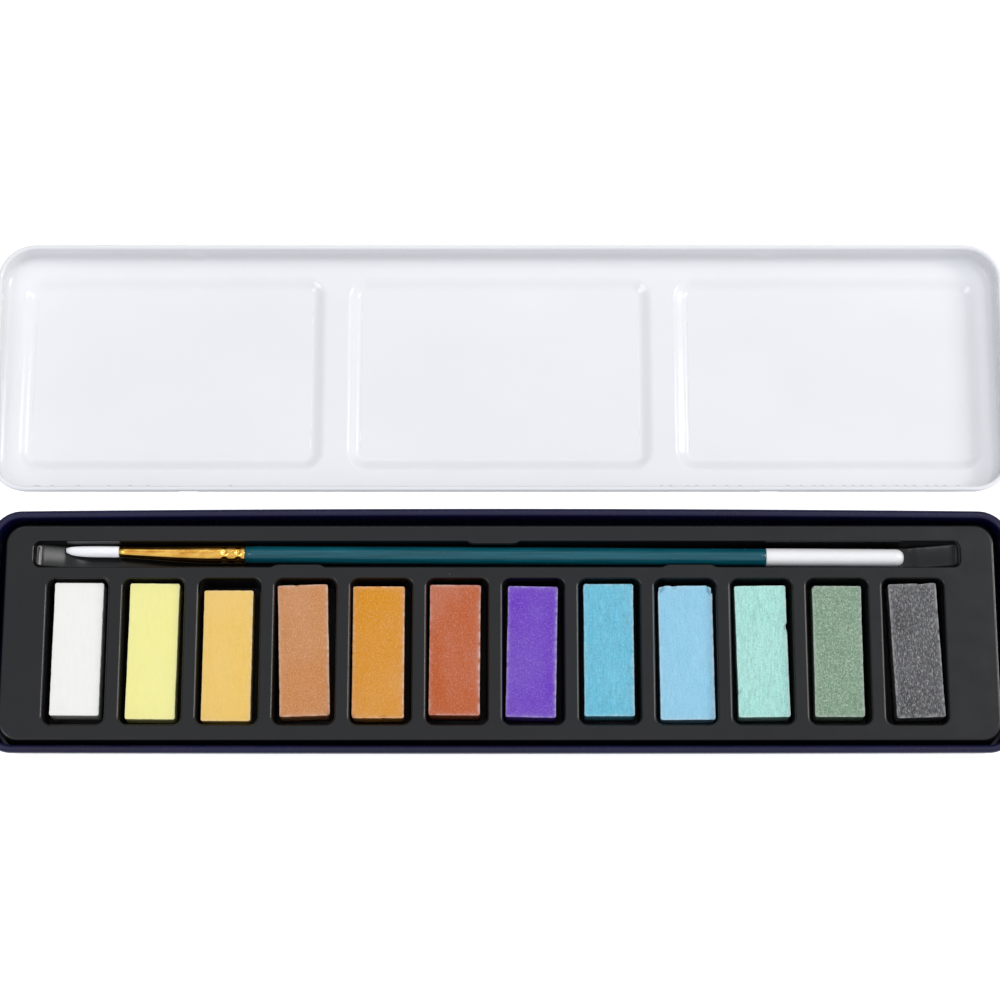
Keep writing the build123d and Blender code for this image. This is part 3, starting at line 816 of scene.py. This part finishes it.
def make_block(node, width, length, turn, colour, streaks, grain, lip, seed):
    """One paint block: worn outline, streaky or grainy top, soft broken edges."""
    low, high = box_mm(node)
    half_x, half_y = width / 2 - BLOCK_EDGE, length / 2 - BLOCK_EDGE
    columns, rows = edge_spaced(half_x), edge_spaced(half_y)
    top = high.z - BLOCK_SINK
    skin = Skin()
    numbers = []
    for y in rows:
        line = []
        for x in columns:
            (px, py, relief), edge_wear_and_highlight = block_point(node, x, y, half_x, half_y, streaks, grain, lip, seed)
            line.append((px, py, top + relief))
            skin.tone.append(edge_wear_and_highlight)
        numbers.append(skin.add(line))
    for lower, upper in zip(numbers, numbers[1:]):
        for i in range(len(columns) - 1):
            skin.faces.append((lower[i], lower[i + 1], upper[i + 1], upper[i]))
    rim = numbers[0][:-1] + [line[-1] for line in numbers[:-1]]
    rim += numbers[-1][:0:-1] + [line[0] for line in numbers[:0:-1]]
    edge = np.array([skin.points[n] for n in rim])
    reach = np.hypot(edge[:, 0], edge[:, 1])
    rim_wear_and_highlight = np.array([skin.tone[n] for n in rim])
    previous = rim
    for drop in SIDE_DROPS + (top - low.z,):
        turned_in = max(0.0, 1 - drop / (1.5 * BLOCK_EDGE))
        out = BLOCK_EDGE * math.sqrt(1 - turned_in ** 2)
        ring = edge * (1 + out / reach)[:, None]
        ring[:, 2] = np.minimum(edge[:, 2] - drop * (0.3 if drop < 0.1 else 1.0), top - drop * 0.3)
        ring[:, 2] = np.where(drop > 0.9, top - drop, ring[:, 2])
        lower = skin.add(ring)
        # the rim's paleness, wear and painted highlight, fades down the block's side
        skin.tone.extend(rim_wear_and_highlight * max(0.0, 1 - drop / 0.4))
        skin.band(previous, lower)
        previous = lower
    base = skin.add([(0.0, 0.0, low.z)])[0]
    skin.tone.append(0.0)
    for i, n in enumerate(previous):
        skin.faces.append((previous[(i + 1) % len(previous)], n, base))
    colour_name = node.replace("paint_", "")
    made = skin.build("cake_" + colour_name, paint_cake(colour_name + "_cake", colour, streaks, grain))
    angle, centre = math.radians(turn), (low + high) / 2
    for vertex in made.data.vertices:
        x, y = vertex.co.x, vertex.co.y
        vertex.co.x = x * math.cos(angle) - y * math.sin(angle) + centre.x * MM
        vertex.co.y = x * math.sin(angle) + y * math.cos(angle) + centre.y * MM
    finish_piece(made, node, node)


# ---- brush -----------------------------------------------------------
FERRULE_LENGTH = 28.5
FERRULE_MOUTH = 1.25         # outer radius at the mouth
FERRULE_END = 2.1            # and from the end of the cone on
FERRULE_CONE = 20.0
FERRULE_BORE = (1.05, 1.7)
FERRULE_LEAN = 0.48
FERRULE_STRAIGHT = 18.0      # from here to the handle it is straight
CRIMPS = (23.9, 27.0)
CRIMP_DEPTH = 0.12
CRIMP_DENTS = 8
DENT_DEPTH = 0.20
HANDLE_RADIUS = 1.98
HANDLE_LENGTH = 148.9
DIP_LENGTH = 31.2
DIP_THICKNESS = 0.05
TUFT_LENGTH = 12.2
TUFT_RADIUS = 1.27
TUFT_ROOT = 8.0
TUFT_INSIDE = -0.04          # hairs start this share of their length inside the ferrule
CORE_SHARE = 0.93            # the tuft's solid body against its full width
HAIR_COUNT = 300
OUTER_HAIRS = 200
HAIR_RADIUS = 0.075
FIT = 0.04


def brush_frame():
    """The brush's axis, from its pieces' boxes: the middle of the ferrule's mouth, and a direction."""
    ferrule_low, ferrule_high = box_mm("brush_ferrule")
    handle_low, handle_high = box_mm("brush_handle")
    ferrule, handle = (ferrule_low + ferrule_high) / 2, (handle_low + handle_high) / 2
    along = (handle - ferrule).normalized()
    mouth = ferrule - along * (ferrule_high.x - ferrule_low.x) / 2
    return mouth, along


def bend(distance):
    """Sideways lean of the ferrule and tuft, which sit a little askew on the handle."""
    return FERRULE_LEAN * float(smooth((FERRULE_STRAIGHT - distance) / (FERRULE_STRAIGHT + 4)))


def lathe(name, profile, material, around=48, shape=None, closed=True):
    """A turned piece on the brush's axis from (distance, radius) pairs."""
    mouth, along = brush_frame()
    side = Vector((0, 0, 1)).cross(along).normalized()
    skin = Skin()
    rings = []
    for distance, radius in profile:
        ring = []
        for i in range(around):
            a = 2 * math.pi * i / around
            r = radius if shape is None else radius + shape(distance, a)
            across = bend(distance) + r * math.cos(a)
            ring.append(mouth + along * distance + side * across + Vector((0, 0, 1)) * r * math.sin(a))
        rings.append(skin.add(ring))
    skin.bands(rings[::-1])
    if closed:
        for ring, distance, flip in ((rings[0], profile[0][0], False), (rings[-1], profile[-1][0], True)):
            tip = skin.add([mouth + along * distance + side * bend(distance)])[0]
            for i in range(around):
                a, b = ring[i], ring[(i + 1) % around]
                skin.faces.append((a, b, tip) if flip else (b, a, tip))
    return skin.build(name, material)


def make_ferrule():
    """The gold ferrule: rolled mouth, cone, and a collar with two rings of crimped dents."""
    profile = [(0.5, FERRULE_BORE[0]), (0.05, FERRULE_BORE[0])]
    profile += [(0.0, FERRULE_MOUTH - 0.08), (0.06, FERRULE_MOUTH)]
    for i in range(1, 17):
        share = i / 16
        profile.append((FERRULE_CONE * share, FERRULE_MOUTH + (FERRULE_END - FERRULE_MOUTH) * share))
    x = FERRULE_CONE + 0.25
    while x < FERRULE_LENGTH - 0.15:
        sink = sum(math.exp(-((x - c) / 0.42) ** 2) for c in CRIMPS)
        swell = sum(math.exp(-((abs(x - c) - 1.0) / 0.4) ** 2) for c in CRIMPS)
        profile.append((x, FERRULE_END - CRIMP_DEPTH * sink - 0.03 + 0.03 * min(1.0, swell)))
        x += 0.15
    profile += [(FERRULE_LENGTH - 0.08, FERRULE_END - 0.02), (FERRULE_LENGTH, FERRULE_END - 0.1),
                (FERRULE_LENGTH, FERRULE_BORE[1] + 0.25)]

    def dents(distance, angle):
        near = sum(math.exp(-((distance - c) / 0.5) ** 2) for c in CRIMPS)
        return -DENT_DEPTH * near * (0.5 + 0.5 * math.cos(CRIMP_DENTS * angle))

    made = lathe("ferrule_tube", profile, gold_metal(), around=128, shape=dents, closed=False)
    finish_piece(made, "brush", "brush_ferrule")


def make_handle():
    """The teal handle, slightly swollen along its length, up to the white dip."""
    start = FERRULE_LENGTH - 0.1
    end = FERRULE_LENGTH + HANDLE_LENGTH - DIP_LENGTH + 0.6
    profile = [(start, HANDLE_RADIUS - 0.25), (start + 0.15, HANDLE_RADIUS - 0.12)]
    for i in range(1, 61):
        share = i / 60
        radius = HANDLE_RADIUS - 0.06 + 0.06 * math.sin(math.pi * min(1.0, share * 1.1))
        radius += 0.012 * perlin(share * 9, 0.3, 0.7)
        profile.append((start + 0.15 + (end - start - 0.15) * share, radius))
    made = lathe("handle_shaft", profile, teal_lacquer(), around=64)
    finish_piece(made, "brush", "brush_handle")


def make_dip():
    """The white dipped end: a thin coat with a soft front edge and a domed end."""
    start = FERRULE_LENGTH + HANDLE_LENGTH - DIP_LENGTH
    end = FERRULE_LENGTH + HANDLE_LENGTH
    radius = HANDLE_RADIUS + DIP_THICKNESS
    profile = [(start, HANDLE_RADIUS - 0.08), (start + 0.04, HANDLE_RADIUS + 0.02), (start + 0.2, radius)]
    for i in range(1, 20):
        share = i / 20
        profile.append((start + 0.2 + (end - start - 0.2 - radius) * share,
                        radius - 0.04 * share + 0.012 * perlin(share * 5, 4.2, 1.1)))
    blunt = radius - 0.04
    for i in range(0, 13):
        a = math.pi / 2 * i / 12
        profile.append((end - radius + radius * math.sin(a), max(0.02, blunt * math.cos(a) ** 0.75)))

    made = lathe("handle_dip", profile, white_dip(), around=64)
    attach(made, "brush")


def tuft_width(share):
    """Half-width of the tuft at a share of its free length: nearly even, then a blunt round end."""
    return TUFT_RADIUS * max(0.0, 1 - min(1.0, share) ** 5) ** 0.4


def tuft_point(mouth, along, side, share, angle, reach):
    """A point in the tuft: share of its length, direction about its axis, share of its width."""
    share = min(share, 0.995)
    width = tuft_width(share) * reach
    distance = -TUFT_LENGTH * share
    lean = bend(distance) + 0.30 * max(0.0, share) ** 6
    flat = 0.92 - 0.25 * max(0.0, share) ** 2
    if share < 0:
        width = min(width, FERRULE_BORE[0] * reach)
        lean = bend(0)
    spot = mouth + along * distance + side * (lean + width * math.cos(angle))
    return spot + Vector((0, 0, 1)) * width * flat * math.sin(angle)


def add_core(skin, mouth, along, side):
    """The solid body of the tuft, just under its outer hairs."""
    rings = []
    for i in range(31):
        share = TUFT_INSIDE + 1.02 * i / 30
        angles = [2 * math.pi * k / 40 for k in range(40)]
        rings.append(skin.add(tuft_point(mouth, along, side, share, a, CORE_SHARE) for a in angles))
    skin.bands(rings)
    skin.faces.append(tuple(reversed(rings[-1])))
    skin.faces.append(tuple(rings[0]))


def add_hair(skin, mouth, along, side, angle, reach, length, seed):
    """One tapered hair from inside the ferrule to the tip."""
    steps, around = 12, 5
    rings = []
    for i in range(steps + 1):
        share = TUFT_INSIDE + (length - TUFT_INSIDE) * i / steps
        stray = angle + 0.05 * perlin(seed * 1.7, share * 2, 0.5)
        out = reach + 0.03 * perlin(seed * 2.3, share * 3, 8.5) * max(0.0, share)
        centre = tuft_point(mouth, along, side, share, stray, out)
        thick = HAIR_RADIUS * (1 - 0.7 * (i / steps) ** 2)
        ring = []
        for k in range(around):
            a = 2 * math.pi * k / around
            ring.append(centre + side * thick * math.cos(a) + Vector((0, 0, 1)) * thick * math.sin(a))
        rings.append(skin.add(ring))
    skin.bands(rings)
    skin.faces.append(tuple(reversed(rings[-1])))
    skin.faces.append(tuple(rings[0]))


def make_tuft():
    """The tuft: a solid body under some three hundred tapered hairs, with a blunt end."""
    mouth, along = brush_frame()
    side = Vector((0, 0, 1)).cross(along).normalized()
    skin = Skin()
    add_core(skin, mouth, along, side)
    golden = math.pi * (3 - math.sqrt(5))
    for i in range(HAIR_COUNT):
        inward = (i + 1 - OUTER_HAIRS) / (HAIR_COUNT + 1 - OUTER_HAIRS)
        reach = 0.95 if i < OUTER_HAIRS else math.sqrt(inward) * 0.9
        length = 0.985 - 0.05 * abs(perlin(i * 0.37, 2.0, 0.0))
        add_hair(skin, mouth, along, side, golden * i, reach, length, i)
    made = skin.build("hair_tuft", white_hair())
    finish_piece(made, "brush", "brush_bristles")


def make_resin():
    """The resin plug behind the hair, inside the ferrule."""
    start, end = TUFT_ROOT + FIT, 1.5 * TUFT_ROOT
    profile = []
    for i in range(7):
        distance = start + (end - start) * i / 6
        slope = min(1.0, distance / FERRULE_CONE)
        profile.append((distance, FERRULE_BORE[0] + (FERRULE_BORE[1] - FERRULE_BORE[0]) * slope - FIT))
    made = lathe("resin_plug", profile, clear_resin(), around=32)
    finish_piece(made, "brush", "brush_resin")


# ---- studio ----------------------------------------------------------
CAMERA_TILT = 15.1           # degrees from straight down
CAMERA_DISTANCE = 638.4
CAMERA_LENS = 100.0
SENSOR_WIDTH = 36.0
CAMERA_AIM = (0.0, 0.36, 0.0)

# Brightness of the room at the horizon, and how much it gains straight up, to the right and in front.
ROOM_HORIZON = 0.14
ROOM_OVERHEAD = 0.81
ROOM_RIGHT = 0.02
ROOM_FRONT = 0.22
ROOM_DARKEST = 0.10
ROOM_COLOUR = (0.935, 0.963, 1.0, 1.0)

FLOOR_REACH = 3.0            # in metres, like the places and sizes of the lights
FLOOR_GAP = 0.05             # the floor lies this far under the set, in millimetres

# name, place, size, power in watts, colour
LIGHTS = (
    ("key", (2.40, 0.51, 1.72), (0.85, 0.85), 25.0, (1.0, 0.975, 0.94)),
    ("fill", (-1.25, -0.30, 2.30), (0.7, 0.7), 5.5, (0.98, 0.99, 1.0)),
    ("strip", (0.0, 0.72, 1.20), (1.3, 0.06), 0.75, (1.0, 1.0, 1.0)),
    ("glint", (0.73, 0.357, 1.50), (0.34, 0.30), 2.3, (1.0, 1.0, 1.0)),
)


def make_camera():
    """Camera over the front of the set, looking down and slightly away."""
    data = bpy.data.cameras.new("camera")
    data.lens = CAMERA_LENS
    data.sensor_width = SENSOR_WIDTH
    data.clip_start, data.clip_end = 0.01, 20.0
    camera = bpy.data.objects.new("camera", data)
    tilt = math.radians(CAMERA_TILT)
    back = Vector((0, -math.sin(tilt), math.cos(tilt))) * CAMERA_DISTANCE
    camera.location = (Vector(CAMERA_AIM) + back) * MM
    camera.rotation_euler = (tilt, 0, 0)
    bpy.context.scene.collection.objects.link(camera)
    bpy.context.scene.camera = camera


def add_light(name, place, size, power, colour):
    """A soft rectangular light that looks at the middle of the set."""
    data = bpy.data.lights.new(name, "AREA")
    data.shape = "RECTANGLE"
    data.size, data.size_y = size
    data.energy = power
    data.color = colour
    light = bpy.data.objects.new(name, data)
    light.location = place
    light.rotation_euler = (-Vector(place)).to_track_quat("-Z", "Y").to_euler()
    bpy.context.scene.collection.objects.link(light)


def make_room():
    """A white room, brightest overhead and a little brighter on the right and in front."""
    world = bpy.data.worlds.new("room")
    world.use_nodes = True
    nodes, links = world.node_tree.nodes, world.node_tree.links
    split = nodes.new("ShaderNodeSeparateXYZ")
    links.new(nodes.new("ShaderNodeTexCoord").outputs["Generated"], split.inputs["Vector"])
    level = ROOM_HORIZON
    for axis, gain in (("Z", ROOM_OVERHEAD), ("X", ROOM_RIGHT), ("Y", -ROOM_FRONT)):
        part = nodes.new("ShaderNodeMath")
        part.operation = "MULTIPLY_ADD"
        links.new(split.outputs[axis], part.inputs[0])
        part.inputs[1].default_value = gain
        if isinstance(level, float):
            part.inputs[2].default_value = level
        else:
            links.new(level, part.inputs[2])
        level = part.outputs["Value"]
    floor = nodes.new("ShaderNodeMath")
    floor.operation = "MAXIMUM"
    floor.inputs[1].default_value = ROOM_DARKEST
    links.new(level, floor.inputs[0])
    background = nodes["Background"]
    background.inputs["Color"].default_value = ROOM_COLOUR
    links.new(floor.outputs["Value"], background.inputs["Strength"])
    bpy.context.scene.world = world


def make_studio():
    """Pale floor, a white room, a key from the right, a weak fill and two small lights for glints."""
    low, high = cad_box
    mesh = bpy.data.meshes.new("floor")
    sides = ((-1, -1), (1, -1), (1, 1), (-1, 1))
    corners = [(x * FLOOR_REACH, y * FLOOR_REACH, low.z - FLOOR_GAP * MM) for x, y in sides]
    mesh.from_pydata(corners, [], [(0, 1, 2, 3)])
    mesh.materials.append(studio_floor())
    floor = bpy.data.objects.new("floor", mesh)
    bpy.context.scene.collection.objects.link(floor)
    make_room()
    for light in LIGHTS:
        add_light(*light)
    bpy.context.scene.view_settings.view_transform = "Standard"


# ---- the whole set ---------------------------------------------------
make_camera()
make_tin()
make_lid()
make_tray()
for number, paint in enumerate(PAINTS):
    make_block(*paint, seed=number * 3.7)
make_ferrule()
make_handle()
make_dip()
make_tuft()
make_resin()
make_studio()
